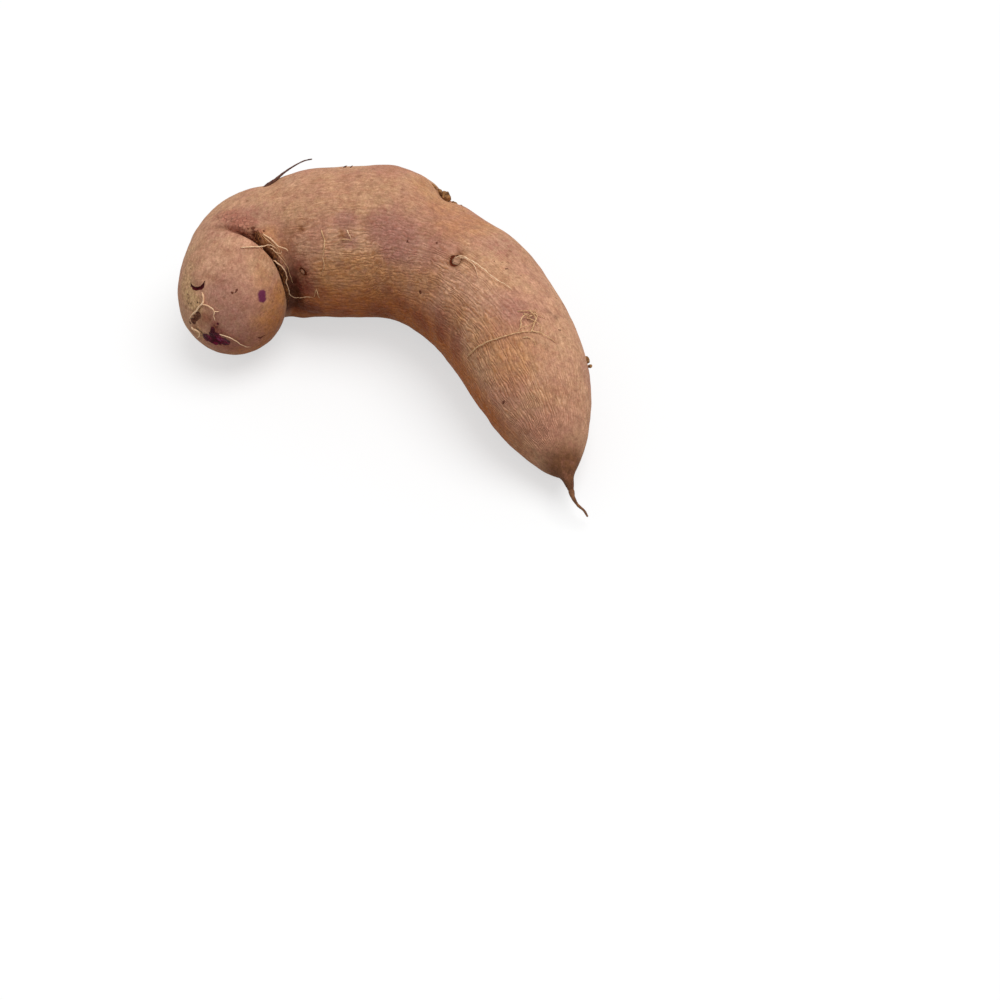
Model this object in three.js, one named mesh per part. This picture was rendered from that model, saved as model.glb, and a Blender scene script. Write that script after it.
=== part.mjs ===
import * as THREE from "three";
import { mergeVertices } from "three/addons/utils/BufferGeometryUtils.js";

// A hooked sweet potato lying on its side, in millimetres, +Z up.
// The blunt head turns sharply towards -Y, the body runs along +X and the tail swings back to -Y.
// The origin is under the middle of its bounding box, on the surface that it rests on.

// The line through the middle of the root, from the head to the tail.
// Each station is [x, y, z, heading]: its centre, and the way the root runs there, in degrees from +X.
const CENTRELINE = [
  [-47.5, -44, 20, 68], // head
  [-46, -39.5, 21, 68],
  [-43.5, -32, 22.5, 67],
  [-40, -21.5, 23.5, 63],
  [-37, -11, 25, 54], // neck, behind the head
  [-31, -2.5, 26.5, 35],
  [-22, 0, 28, 15],
  [-8, 0, 29, 0], // body
  [8, 0, 29.5, 0],
  [22, -1, 29.5, -18],
  [34, -10, 28, -38], // shoulder
  [46, -24, 26.5, -50],
  [57, -43, 25, -56],
  [66, -61, 24, -61],
  [73, -77, 21.5, -67],
  [78, -90, 17.5, -71], // tail
  [80.5, -99, 14, -74],
  [82, -105, 12.5, -76], // root end
  [83, -110, 11.5, -77],
  [84, -114, 11, -78],
];

// How far the skin lies from the centreline at each station: [inner, outer, above, below].
// Inner is the hollow side of the hook and outer is its long side.
const GIRTH = [
  [0, 0, 0, 0],
  [13.5, 14, 14, 13.5],
  [19.5, 19.8, 20.5, 20],
  [21.5, 23.8, 24, 23.5],
  [20, 26, 23.5, 23.5],
  [21, 26.5, 23.5, 25.5],
  [25, 24, 25, 28],
  [27, 27, 28, 29],
  [28.5, 28, 29, 29.5],
  [28, 28, 29.5, 29],
  [24.5, 21.5, 24.5, 27.5],
  [22, 25, 25.5, 26],
  [20.5, 27, 25.5, 24.5],
  [21, 24, 23.5, 23.5],
  [20, 20.5, 20, 21.5],
  [14, 14, 15, 17],
  [8, 8, 8.5, 10],
  [2.5, 2.5, 2.5, 2.5],
  [1.8, 1.8, 1.8, 1.8],
  [0, 0, 0, 0],
];

// Swellings and hollows that the stations don't give.
// Angles turn from the outer side (0) over the top (90) to the inner side (180) and below (270).
const LUMPS = [
  { station: 5.8, angle: 60, length: 0.4, width: 25, height: -1.0 },
  { station: 6.0, angle: 235, length: 0.5, width: 30, height: 1.0 },
  { station: 6.5, angle: 60, length: 0.5, width: 30, height: 1.0 },
  { station: 9.8, angle: 52, length: 0.25, width: 24, height: -2.6 },
  { station: 11.6, angle: 40, length: 0.5, width: 25, height: 1.0 },
];

// The deep fold where the head is pressed against the body.
const FOLD = {
  station: 4.05, // where it lies on the inner side
  lean: 0.6, // how far it leans towards the head where it runs over the top
  angle: 140, // the middle of its sweep around the root
  sweep: 70, // half of that sweep
  deepSweep: 30, // how far towards the top it stays deep
  shallowShare: 0.38, // the share of its depth that runs on over the top
  headSide: 0.22, // how far it reaches towards the head, in stations
  bodySide: 0.12, // and towards the body
  depth: 0.36, // as a share of the girth
};

const REST_FLAT = 0.6; // the underside is this much flattened where it rests
const AROUND = 48; // facets around the root
const RINGS_PER_STATION = 4;
const RINGS_PER_FOLD_STATION = 18;

const LAST = CENTRELINE.length - 1;
const wrapDegrees = (angle) => ((angle + 540) % 360) - 180;
const bell = (distance, spread) => Math.exp(-((distance / spread) ** 2));

// A smooth uniform cubic B-spline through the rows, with the first and last rows kept as its ends.
function splineRow(rows, station) {
  const start = Math.min(Math.floor(station), LAST - 1);
  const t = station - start;
  const row = (index, column) => {
    if (index < 0) return 2 * rows[0][column] - rows[1][column];
    if (index > LAST) return 2 * rows[LAST][column] - rows[LAST - 1][column];
    return rows[index][column];
  };
  const weights = [
    (1 - t) ** 3,
    3 * t ** 3 - 6 * t ** 2 + 4,
    -3 * t ** 3 + 3 * t ** 2 + 3 * t + 1,
    t ** 3,
  ];
  return rows[0].map((_, column) =>
    weights.reduce((sum, weight, k) => sum + (weight * row(start - 1 + k, column)) / 6, 0)
  );
}

const GIRTH_SQUARED = GIRTH.map((row) => row.map((radius) => radius ** 2));

// The share of the girth that the fold leaves at an angle around the root.
function foldFactor(station, angle) {
  const turn = wrapDegrees(angle - FOLD.angle);
  const towardsTop = Math.min(Math.max(-turn / FOLD.sweep, 0), 1.2);
  const middle = FOLD.station - FOLD.lean * towardsTop;
  const deep = turn < 0 ? bell(turn, FOLD.deepSweep) : 1;
  const share = FOLD.shallowShare + (1 - FOLD.shallowShare) * deep;
  const fade = share * Math.exp(-((turn / FOLD.sweep) ** 4));
  const beyond = station - middle;
  return 1 - FOLD.depth * fade * bell(beyond, beyond > 0 ? FOLD.bodySide : FOLD.headSide);
}

function lumpHeight(station, angle) {
  return LUMPS.reduce((sum, lump) => {
    const along = bell(station - lump.station, lump.length);
    const around = bell(wrapDegrees(angle - lump.angle), lump.width);
    return sum + lump.height * along * around;
  }, 0);
}

// The point on the skin at a station along the root and an angle around it.
function skinPoint(station, angle) {
  const [x, y, z, heading] = splineRow(CENTRELINE, station);
  const [inner, outer, above, below] = splineRow(GIRTH_SQUARED, station).map((square) =>
    Math.sqrt(Math.max(square, 0))
  );
  const turn = THREE.MathUtils.degToRad(angle);
  const sideways = Math.cos(turn) * (Math.cos(turn) > 0 ? outer : inner);
  const upwards = Math.sin(turn) * (Math.sin(turn) > 0 ? above : below);
  const reach = Math.hypot(sideways, upwards);
  const lump = reach > 0 ? 1 + lumpHeight(station, angle) / Math.max(reach, 1) : 1;
  const scale = foldFactor(station, angle) * lump;
  const across = THREE.MathUtils.degToRad(heading + 90);
  return new THREE.Vector3(
    x + sideways * scale * Math.cos(across),
    y + sideways * scale * Math.sin(across),
    Math.max(z + upwards * scale, REST_FLAT)
  );
}

// The stations of the rings: they crowd towards both ends, so that the ends stay round, and in the fold.
function ringStations() {
  const rings = [];
  for (let start = 0; start < LAST; start++) {
    const inFold = Math.abs(start + 0.5 - FOLD.station) < 1;
    const count = inFold ? RINGS_PER_FOLD_STATION : RINGS_PER_STATION;
    for (let k = 0; k < count; k++) {
      const t = k / count;
      if (start === 0) rings.push(t ** 2);
      else if (start === LAST - 1) rings.push(LAST - (1 - t) ** 2);
      else rings.push(start + t);
    }
  }
  return [...rings, LAST];
}

// A unit sphere is stretched over the root: its poles become the two ends.
function sweetPotatoGeometry() {
  const rings = ringStations();
  const sphere = new THREE.SphereGeometry(1, AROUND, rings.length - 1);
  const { position } = sphere.attributes;
  for (let i = 0; i < position.count; i++) {
    const ring = Math.floor(i / (AROUND + 1));
    const column = i % (AROUND + 1);
    const point = skinPoint(rings[ring], (-360 * column) / AROUND);
    position.setXYZ(i, point.x, point.y, point.z);
  }
  sphere.deleteAttribute("normal");
  sphere.deleteAttribute("uv");
  const geometry = mergeVertices(sphere, 1e-3);
  geometry.computeBoundingBox();
  const { min, max } = geometry.boundingBox;
  geometry.translate(-(min.x + max.x) / 2, -(min.y + max.y) / 2, -min.z);
  geometry.computeVertexNormals();
  return geometry;
}

const skin = new THREE.MeshStandardMaterial({ color: 0xb88a71, roughness: 0.75, metalness: 0 });
const sweetPotato = new THREE.Mesh(sweetPotatoGeometry(), skin);
sweetPotato.name = "sweet_potato";

const object = new THREE.Group();
object.add(sweetPotato);

export default object;
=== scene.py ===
import math

import bpy
import numpy as np
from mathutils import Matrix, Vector, noise


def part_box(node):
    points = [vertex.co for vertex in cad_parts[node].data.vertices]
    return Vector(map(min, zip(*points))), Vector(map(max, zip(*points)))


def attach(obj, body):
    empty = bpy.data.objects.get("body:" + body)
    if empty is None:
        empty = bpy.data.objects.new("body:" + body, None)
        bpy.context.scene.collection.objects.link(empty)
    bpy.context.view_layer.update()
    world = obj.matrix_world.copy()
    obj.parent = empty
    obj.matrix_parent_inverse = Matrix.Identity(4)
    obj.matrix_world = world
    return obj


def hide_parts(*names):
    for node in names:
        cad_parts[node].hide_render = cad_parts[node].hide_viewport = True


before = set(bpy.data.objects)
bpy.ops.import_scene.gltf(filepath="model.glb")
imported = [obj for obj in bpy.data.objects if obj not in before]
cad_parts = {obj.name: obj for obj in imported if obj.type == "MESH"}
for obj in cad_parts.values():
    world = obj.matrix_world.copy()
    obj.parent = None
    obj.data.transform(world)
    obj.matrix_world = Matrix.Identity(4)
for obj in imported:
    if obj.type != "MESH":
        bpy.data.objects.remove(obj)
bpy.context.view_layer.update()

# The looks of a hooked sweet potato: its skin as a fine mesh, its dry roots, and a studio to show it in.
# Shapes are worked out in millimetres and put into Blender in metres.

MM = 0.001
NODE = "sweet_potato"
BODY = "root"

# ---- The shape, as the solid model has it ----

# The line through the middle of the root: x, y, z and heading in degrees from +X.
CENTRELINE = np.array([
    [-47.5, -44, 20, 68],  # head
    [-46, -39.5, 21, 68],
    [-43.5, -32, 22.5, 67],
    [-40, -21.5, 23.5, 63],
    [-37, -11, 25, 54],  # neck, behind the head
    [-31, -2.5, 26.5, 35],
    [-22, 0, 28, 15],
    [-8, 0, 29, 0],  # body
    [8, 0, 29.5, 0],
    [22, -1, 29.5, -18],
    [34, -10, 28, -38],  # shoulder
    [46, -24, 26.5, -50],
    [57, -43, 25, -56],
    [66, -61, 24, -61],
    [73, -77, 21.5, -67],
    [78, -90, 17.5, -71],  # tail
    [80.5, -99, 14, -74],
    [82, -105, 12.5, -76],  # root end
    [83, -110, 11.5, -77],
    [84, -114, 11, -78],
])

# How far the skin lies from that line: inner, outer, above, below.
GIRTH = np.array([
    [0, 0, 0, 0],
    [13.5, 14, 14, 13.5],
    [19.5, 19.8, 20.5, 20],
    [21.5, 23.8, 24, 23.5],
    [20, 26, 23.5, 23.5],
    [21, 26.5, 23.5, 25.5],
    [25, 24, 25, 28],
    [27, 27, 28, 29],
    [28.5, 28, 29, 29.5],
    [28, 28, 29.5, 29],
    [24.5, 21.5, 24.5, 27.5],
    [22, 25, 25.5, 26],
    [20.5, 27, 25.5, 24.5],
    [21, 24, 23.5, 23.5],
    [20, 20.5, 20, 21.5],
    [14, 14, 15, 17],
    [8, 8, 8.5, 10],
    [2.5, 2.5, 2.5, 2.5],
    [1.8, 1.8, 1.8, 1.8],
    [0, 0, 0, 0],
])

# Swellings and hollows: station, angle, length in stations, width in degrees, height.
LUMPS = [
    (5.8, 60, 0.4, 25, -1.0),
    (6.0, 235, 0.5, 30, 1.0),
    (6.5, 60, 0.5, 30, 1.0),
    (9.8, 52, 0.25, 24, -2.6),
    (11.6, 40, 0.5, 25, 1.0),
]

# The deep fold where the head is pressed against the body.
FOLD_STATION = 4.05  # where it lies on the inner side
FOLD_LEAN = 0.6  # how many stations it leans towards the head where it runs over the top
FOLD_ANGLE = 140  # the middle of its sweep around the root
FOLD_SWEEP = 70  # half of that sweep
FOLD_DEEP_SWEEP = 30  # how far towards the top it stays deep
FOLD_SHALLOW_SHARE = 0.38  # the share of its depth that runs on over the top
FOLD_HEAD_SIDE = 0.22  # how far it reaches towards the head, in stations
FOLD_BODY_SIDE = 0.05  # and towards the body, where it is steeper than in the solid model
FOLD_DEPTH = 0.36  # as a share of the girth
FOLD_LIP = 1.7  # how far the body's skin presses forward over it

REST_FLAT = 0.6  # the underside is this much flattened where it rests
LAST = len(CENTRELINE) - 1

RINGS = 310  # rings of the fine mesh, from end to end
AROUND = 320  # points on each ring
SHOULDER_TWIST = 45  # degrees that the ripples turn around the root at the shoulder


def bell(distance, spread):
    return np.exp(-((distance / spread) ** 2))


def wrap(angle):
    return (angle + 180) % 360 - 180


def ramp(value, low, high):
    """0 below low, 1 above high and smooth between them."""
    t = np.clip((value - low) / (high - low), 0, 1)
    return t * t * (3 - 2 * t)


def unit(vector):
    return vector / np.maximum(np.linalg.norm(vector, axis=-1, keepdims=True), 1e-9)


def spline(rows, station):
    """The uniform cubic B-spline through the rows, with the first and last rows kept as its ends."""
    before = 2 * rows[0] - rows[1]
    after = 2 * rows[-1] - rows[-2]
    padded = np.vstack([before, rows, after])
    start = np.clip(np.floor(station).astype(int), 0, LAST - 1)
    t = (station - start)[..., None]
    return (
        (1 - t) ** 3 * padded[start]
        + (3 * t ** 3 - 6 * t ** 2 + 4) * padded[start + 1]
        + (-3 * t ** 3 + 3 * t ** 2 + 3 * t + 1) * padded[start + 2]
        + t ** 3 * padded[start + 3]
    ) / 6


def fold_middle(angle):
    """The station of the fold's deepest line at an angle."""
    towards_top = np.clip(-wrap(angle - FOLD_ANGLE) / FOLD_SWEEP, 0, 1.2)
    return FOLD_STATION - FOLD_LEAN * towards_top


def fold_fade(angle):
    """How deep the fold is at an angle, as a share: a shallow line runs on from it over the top."""
    turn = wrap(angle - FOLD_ANGLE)
    whole = np.exp(-((turn / FOLD_SWEEP) ** 4))
    deep = FOLD_SHALLOW_SHARE + (1 - FOLD_SHALLOW_SHARE) * bell(turn, FOLD_DEEP_SWEEP)
    return np.where(turn < 0, whole * deep, whole)


def fold_lip(station, angle):
    """How far the body's skin presses forward over the fold, in mm."""
    beyond = station - fold_middle(angle)
    return FOLD_LIP * fold_fade(angle) * ramp(beyond, -0.02, 0.08) * (1 - ramp(beyond, 0.15, 0.9))


def skin_point(station, angle):
    """Points on the plain skin, in the solid model's own working frame."""
    station, angle = np.broadcast_arrays(np.asarray(station, float), np.asarray(angle, float))
    centre = spline(CENTRELINE, station)
    girth = np.sqrt(np.clip(spline(GIRTH ** 2, station), 0, None))
    cosine = np.cos(np.radians(angle))
    sine = np.sin(np.radians(angle))
    sideways = cosine * np.where(cosine > 0, girth[..., 1], girth[..., 0])
    upwards = sine * np.where(sine > 0, girth[..., 2], girth[..., 3])
    lump = sum(
        height * bell(station - at, length) * bell(wrap(angle - middle), width)
        for at, middle, length, width, height in LUMPS
    )
    beyond = station - fold_middle(angle)
    reach = np.where(beyond > 0, FOLD_BODY_SIDE, FOLD_HEAD_SIDE)
    fold = FOLD_DEPTH * fold_fade(angle) * bell(beyond, reach)
    scale = (1 - fold) * (1 + lump / np.maximum(np.hypot(sideways, upwards), 1))
    heading = np.radians(centre[..., 3])
    lip = fold_lip(station, angle)
    return np.stack([
        centre[..., 0] - sideways * scale * np.sin(heading) - lip * np.cos(heading),
        centre[..., 1] + sideways * scale * np.cos(heading) - lip * np.sin(heading),
        np.maximum(centre[..., 2] + upwards * scale, REST_FLAT),
    ], axis=-1)


def even_stations(count):
    """Stations whose rings lie evenly along the skin, and closer together in the fold."""
    fine = np.linspace(0, LAST, 4000)
    path = skin_point(fine[:, None], np.arange(0, 360, 20)[None, :])
    step = np.linalg.norm(np.diff(path, axis=0), axis=2).mean(axis=1)
    step *= 1 + 1.5 * bell(fine[1:] - FOLD_STATION + 0.2, 0.35)
    length = np.concatenate([[0], np.cumsum(step)])
    return np.interp(np.linspace(0, length[-1], count), length, fine)


def fractal(points, grain, seed, octaves=3):
    """Soft noise, about -1 to 1, whose largest waves are the grain's size."""
    shifted = points.reshape(-1, 3) / grain + 31.7 * seed
    values = [noise.fractal(p, 1.0, 2.0, octaves) for p in shifted]
    return np.array(values).reshape(points.shape[:-1])


# ---- Marks on the skin ----
# Each has its station along the root and its angle around it, then sizes in mm.

# Hollows: radius and depth. A negative depth is a rise.
DENTS = [
    (6.31, 130, 1.5, 0.5), (6.38, 143, 0.9, 0.3), (4.4, 117.5, 1, 0.9), (4.05, 109, 1.3, 0.7),
    (4.54, 98, 2.5, 0.35), (5.97, 168, 2.6, 0.4), (11.33, 114, 3, 0.6), (11.28, 106, 1.8, 0.8),
    (10.03, 128, 1.3, 0.4), (10.72, 113, 1.2, 0.3), (9.7, 50, 3.2, 0.8), (9.59, 38, 3.5, 0.9),
    (1.2, 66, 2.2, 0.5), (1.52, 63, 2.2, -0.5), (0.05, 215, 2.6, 1.2), (0.35, 42, 2.2, 0.6),
    (2.9, -35, 2.6, 0.6), (8.3, 8, 3, 0.7), (7.2, 252, 2.6, 0.5), (12.8, -28, 3, 0.7),
    (13.6, 205, 2.6, 0.5), (10.6, -65, 3.2, 0.6), (15.1, 60, 2.2, 0.5), (5.2, -50, 2, 0.5),
    (1.7, 22, 9, -0.6), (8.6, 67, 10, -0.7), (6.05, 58, 4, -0.7), (11.15, 54, 7, -0.9), (12, 47, 7, 0.7),
    (0.7, 228, 7, 0.7), (9.2, 215, 1.8, 0.4), (5.08, 224, 4.6, -2),
]

# Root scars: a cracked ring of this radius around a small knob, and the way that its open side looks:
# 0 is along the root, and 90 is towards the outer side.
EYES = [
    (11.33, 112, 2.2, 60),
    (6.05, 166.6, 1.35, 215),
    (2.9, -35, 1.5, 200),
    (8.3, 8, 1.9, 20),
    (7.2, 252, 1.5, 300),
    (12.8, -28, 1.8, 320),
    (13.6, 205, 1.5, 130),
    (10.6, -65, 1.7, 170),
    (5.2, -50, 1.2, 90),
]

# Stains: radius and strength.
STAINS = {
    "mauve": [
        (9.9, 132, 9, 0.8), (9.1, 128, 7, 0.8), (9.7, 138, 6, 0.9), (11.5, 66, 7, 0.45),
        (10.6, 122, 8, 0.5), (7.7, 126, 4, 0.7), (7.8, 142, 3, 0.6), (12.9, 97, 5, 0.6),
        (12.6, 108, 5, 0.3), (12.1, 125, 6, 0.2), (1.2, 125, 9, 0.3), (1.1, 98, 5, 0.6),
        (1.35, 106, 5, 0.5), (0.7, 135, 6, 0.7), (1.3, 133, 5, 0.5), (0.45, 170, 8, 0.75),
        (0.9, 185, 7, 0.6), (0.15, 225, 6, 0.6), (0.5, 118, 4, 0.7), (3.85, 88, 5, 0.5), (4.5, 98, 6, 0.4),
        (3.2, 75, 5, 0.4), (8.3, 15, 9, 0.7), (6.9, -20, 8, 0.5), (12.5, -30, 9, 0.6), (14.2, 20, 6, 0.5),
        (10.5, 250, 9, 0.6), (5.6, -40, 8, 0.5), (3.2, -30, 6, 0.6), (14.5, 230, 6, 0.6),
    ],
    "rash": [
        (3.9, 92, 4.5, 0.7), (3.95, 78, 4, 0.6), (4.2, 102, 2.5, 0.5), (3.9, 64, 3, 0.4),
        (3.75, 101, 2.6, 0.9), (3.8, 108, 2.4, 0.9), (4.1, 114, 2, 0.8), (0.17, 114, 0.9, 1),
    ],
    # Wine-red patches. The last seven marks, from 8.97, 207 on, lie along the underside and the arm's inner
    # edge and are painted shade.
    "wine_and_painted_shade": [
        (6, 166, 4.5, 0.75), (6.4, 172, 4.5, 0.6), (6.1, 180, 4.5, 0.9), (5.5, 184, 4.5, 1),
        (5.2, 172, 3, 0.8), (6.8, 184, 3.5, 0.5), (9.8, 175, 2.5, 0.5), (10.4, 182, 4, 0.4),
        (11.8, 160, 5, 0.5), (12.3, 157, 4, 0.4), (8.6, 176, 2.5, 0.2), (0.45, 205, 5, 0.4),
        (0.2, 113, 2, 1), (0.1, 150, 3, 0.9), (0.28, 78, 2.4, 0.6), (0.2, 50, 2, 0.5), (8.97, 207, 6, 0.5),
        (11.03, 185, 5, 0.6), (11.75, 174, 4, 0.7), (12.4, 170, 4, 0.5), (7.4, 209, 5, 0.5),
        (6.4, 206, 5, 0.7), (5.4, 206, 5, 0.7),
    ],
    "golden": [
        (7.2, 168, 7, 0.7), (8, 166, 8, 0.7), (9, 163, 8, 0.7), (10, 158, 7, 0.6), (11, 150, 7, 0.5),
        (12, 146, 7, 0.4), (13, 130, 8, 0.4), (13.8, 120, 9, 0.5), (1.6, 180, 6, 0.9), (2.2, 168, 5, 0.7),
        (2.6, 140, 4, 0.3), (0.3, 60, 3, 0.3), (3.1, 168, 5, 0.9), (2.3, 178, 6, 0.9), (10.7, 92, 6, 0.4),
        (9.6, 70, 8, 0.3), (10.1, 74, 8, 0.4), (10.8, 72, 8, 0.4), (7.2, 182, 5, 0.9), (7.8, 182, 5, 0.9),
        (8.6, 183, 6, 0.9), (9.9, 176, 6, 0.7), (4.4, 125, 4, 0.5), (4.6, 140, 3.5, 0.6),
    ],
    # Pale patches. The two on the head's knob at 1.7, 166 and 2.15, 159 are painted highlights; the rest
    # lighten the skin in patches.
    "pale": [
        (6.3, 144.7, 3.5, 0.8), (7.4, 136, 3, 0.8), (7.9, 141, 3.5, 0.6), (8.4, 150, 5, 0.6),
        (9.5, 153, 4, 0.5), (10.4, 129.5, 4.5, 0.8), (1.19, 85, 3.5, 0.7), (1.13, 105, 2.5, 0.5),
        (0.48, 218, 4.5, 0.8), (3.04, 87, 3, 0.7), (3.15, 104, 3, 0.6), (1.7, 166, 2.5, 0.7),
        (2.15, 159, 2.5, 0.6), (1.27, 175, 2.5, 0.5), (12, 116, 6, 0.8), (12.4, 113, 6, 0.8),
        (12.7, 104, 5, 0.5), (11.7, 127, 6, 0.8), (12.6, 129, 6, 0.6), (6.3, 77, 5, 0.8), (3.5, 90, 3, 0.6),
        (2.14, 84, 5, 0.8), (2, 120, 6, 0.4), (11.8, 141, 5, 0.4), (7, 20, 6, 0.6), (9.4, -20, 7, 0.5),
        (12, 235, 7, 0.5), (6.2, 250, 6, 0.5), (1.4, 300, 5, 0.5),
    ],
    # Dark stains. The first nine marks, at the fold's low end and under the body beside the head, are painted
    # shade; the rest are dark specks and grime on the skin.
    "dirt_and_painted_shade": [
        (4.8, 188, 3, 0.9), (5.2, 195, 3.5, 0.8), (4.7, 203, 4.5, 0.8), (5.6, 203, 4, 0.6),
        (6.4, 208, 4.5, 0.4), (4.75, 176, 2.4, 0.8), (4.6, 166, 1.6, 0.7), (4.95, 168, 3, 0.4),
        (5.4, 180, 3, 0.4), (4.02, 105.5, 0.7, 0.5), (3.98, 109, 0.9, 0.8), (3.94, 113, 1.1, 1),
        (3.95, 117.5, 1.3, 1), (3.74, 100.6, 0.8, 0.6), (3.6, 104, 0.7, 0.7), (3.55, 96, 0.6, 0.5),
        (4.54, 98, 2.2, 0.2), (11.26, 106, 1.6, 0.3), (11.33, 114, 3, 0.2), (13.14, 62, 1.3, 0.4),
        (13.24, 57, 1.3, 0.4), (13.2, 82, 2.6, 0.3), (9.62, 46, 2.6, 0.7),
    ],
    "humus": [(7.6, 137, 1.4, 0.7), (6.31, 130, 1.2, 0.8), (11.3, 105.5, 2.2, 0.5), (5, 150, 4, 0.3)],
    "pit": [
        (4.4, 117.5, 0.55, 1), (4.08, 107, 0.55, 1), (4.03, 111, 0.6, 1), (3.9, 103, 0.4, 1),
        (11.82, 84, 0.5, 0.6), (11.88, 78, 0.5, 0.6), (12.05, 79, 0.6, 0.6), (12.25, 70, 0.5, 0.6),
        (12.82, 80, 0.5, 0.5), (13.52, 58, 0.7, 0.6), (11.26, 80.6, 0.6, 0.5), (11.44, 89, 0.5, 0.5),
        (13.84, 80, 0.6, 0.5), (6.38, 143.5, 0.4, 0.6), (10.03, 128, 0.6, 0.7), (10.72, 113, 0.5, 0.7),
        (1.57, 119.5, 0.6, 1), (1.42, 116, 0.4, 0.9), (1.64, 124, 0.3, 0.8), (1.41, 191.6, 0.42, 1),
        (1.53, 193.6, 0.65, 1), (1.68, 192.2, 0.4, 0.9), (10.96, 158, 0.8, 0.7), (9.2, 215, 0.8, 0.8),
        (14.4, 150, 0.7, 0.8), (2.4, 250, 0.8, 0.8), (7.9, 300, 0.8, 0.8), (11.8, 330, 0.9, 0.8),
        (6.3, 20, 0.6, 0.8), (4.6, 330, 0.7, 0.8), (9.9, 350, 0.7, 0.7),
    ],
    "soil": [
        (1.98, 46, 3.5, 0.5), (1.5, 43, 4, 0.8), (1.1, 47, 4, 1), (0.85, 52, 3.5, 1), (0.7, 56, 3, 1),
        (0.15, 355, 2.6, 0.9), (2.6, 40, 4, 0.4), (9.3, 38, 5, 0.3),
    ],
    "scar": [(0.38, 54, 1.3, 1), (0.34, 40, 1.3, 1), (0.36, 25, 1.2, 1), (0.44, 10, 0.6, 1)],
    "wound": [
        (0.03, 320, 1.9, 1), (0.03, 255, 2, 1), (0.02, 150, 2.3, 1), (0.06, 215, 2.4, 1),
        (0.12, 203, 2.2, 1), (0.19, 197, 1.7, 1), (0.07, 108, 1.1, 1), (0.11, 104, 0.6, 0.8),
        (0.26, 118, 0.55, 0.8),
    ],
    # Painted highlight: a light spot on the wound's dark flesh, where it would shine.
    "painted_wound_highlight": [(0.05, 212, 0.7, 0.9), (0.1, 196, 0.5, 0.6)],
    "bruise": [(2.06, 148.7, 1.75, 1), (2.15, 146.3, 1.7, 1)],
}


class Skin:
    """The fine skin: a grid of rings by angles, in millimetres, in the model's frame."""

    def __init__(self):
        self.stations = even_stations(RINGS)
        self.station = np.repeat(self.stations[:, None], AROUND, axis=1)
        self.angle = np.repeat((270 + np.arange(AROUND)[None, :] * 360 / AROUND) % 360, RINGS, axis=0)
        self.plain = skin_point(self.station, self.angle)
        self.plain += self.shift_to_model()
        self.normal = self.normals(self.plain)
        self.height = np.zeros((RINGS, AROUND))
        self.stain = {name: np.zeros((RINGS, AROUND)) for name in (*STAINS, "russet_and_painted_shade", "wrinkle", "root_end")}
        self.straight = self.straightened()
        push = [0.5 * fractal(self.plain, 2.4, 20 + axis) for axis in range(3)]
        self.ragged = self.plain + np.stack(push, axis=-1)

    def shift_to_model(self):
        """The shift that puts the skin's box where the solid model's box is."""
        low, high = (np.array(corner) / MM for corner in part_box(NODE))
        own_low = self.plain.min(axis=(0, 1))
        own_high = self.plain.max(axis=(0, 1))
        if np.abs((own_high - own_low) - (high - low)).max() > 0.5:
            raise ValueError("the skin and the solid model differ in size")
        shift = (low + high - own_low - own_high) / 2
        shift[2] = low[2] - REST_FLAT
        return shift

    def normals(self, point):
        along = np.gradient(point, axis=0)
        around = np.roll(point, -1, axis=1) - np.roll(point, 1, axis=1)
        normal = unit(np.cross(around, along))
        normal[0] = unit(normal[1].mean(axis=0))
        normal[-1] = unit(normal[-2].mean(axis=0))
        return normal

    def straightened(self):
        """Each point's place on the root if it were straight: along it, and around its own girth."""
        # The ripples that follow these lines turn towards the outer side as they pass the shoulder.
        centre = self.plain.mean(axis=1)
        step = np.linalg.norm(np.diff(centre, axis=0), axis=1)
        along = np.concatenate([[0], np.cumsum(step)])
        radius = np.linalg.norm(self.plain - centre[:, None, :], axis=2).mean(axis=1)
        turn = np.radians(self.angle + SHOULDER_TWIST * ramp(self.station, 8.5, 13.5))
        return np.stack([
            np.repeat(along[:, None], AROUND, axis=1),
            radius[:, None] * np.cos(turn),
            radius[:, None] * np.sin(turn),
        ], axis=-1)

    def sample(self, grid, station, angle):
        """A grid's value at a station and an angle, which need not be on a ring or a column."""
        row = np.clip(np.interp(station, self.stations, np.arange(RINGS)), 0, RINGS - 1.001)
        column = (np.asarray(angle) - 270) % 360 * AROUND / 360
        i, j = int(row), int(column) % AROUND
        s, t = row - i, column - int(column)
        k = (j + 1) % AROUND
        lower = (1 - t) * grid[i, j] + t * grid[i, k]
        upper = (1 - t) * grid[i + 1, j] + t * grid[i + 1, k]
        return (1 - s) * lower + s * upper

    def side(self, middle, width):
        """1 at an angle around the root, fading over the width."""
        return bell(wrap(self.angle - middle), width)

    def above(self, surface, station, angle, lift):
        """The point at a height above a place on the surface."""
        normal = self.sample(self.normal, station, angle)
        return self.sample(surface, station, angle) + lift * normal

    def distance(self, station, angle, points):
        """How far each of the skin's points, plain or ragged, is from a place on it."""
        away = np.linalg.norm(points - self.sample(points, station, angle), axis=2)
        facing = self.normal @ self.sample(self.normal, station, angle)
        return np.where(facing > -0.2, away, 1e3)

    def frame_at(self, station, angle):
        """A place on the finished skin and its directions along the root, around it and outwards."""
        origin = self.sample(self.surface(), station, angle)
        normal = unit(self.sample(self.normal, station, angle))
        before, after = (self.sample(self.plain, station + step, angle) for step in (-0.05, 0.05))
        ahead = after - before
        along = unit(ahead - normal * (ahead @ normal))
        return origin, along, np.cross(normal, along), normal

    def add_stain(self, name, amount):
        self.stain[name] = np.clip(np.maximum(self.stain[name], amount), 0, 1)

    def surface(self):
        """The finished points: the plain skin raised by its height, and never below the rest."""
        point = self.plain + self.normal * self.height[..., None]
        point[..., 2] = np.maximum(point[..., 2], 0)
        return point


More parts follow.
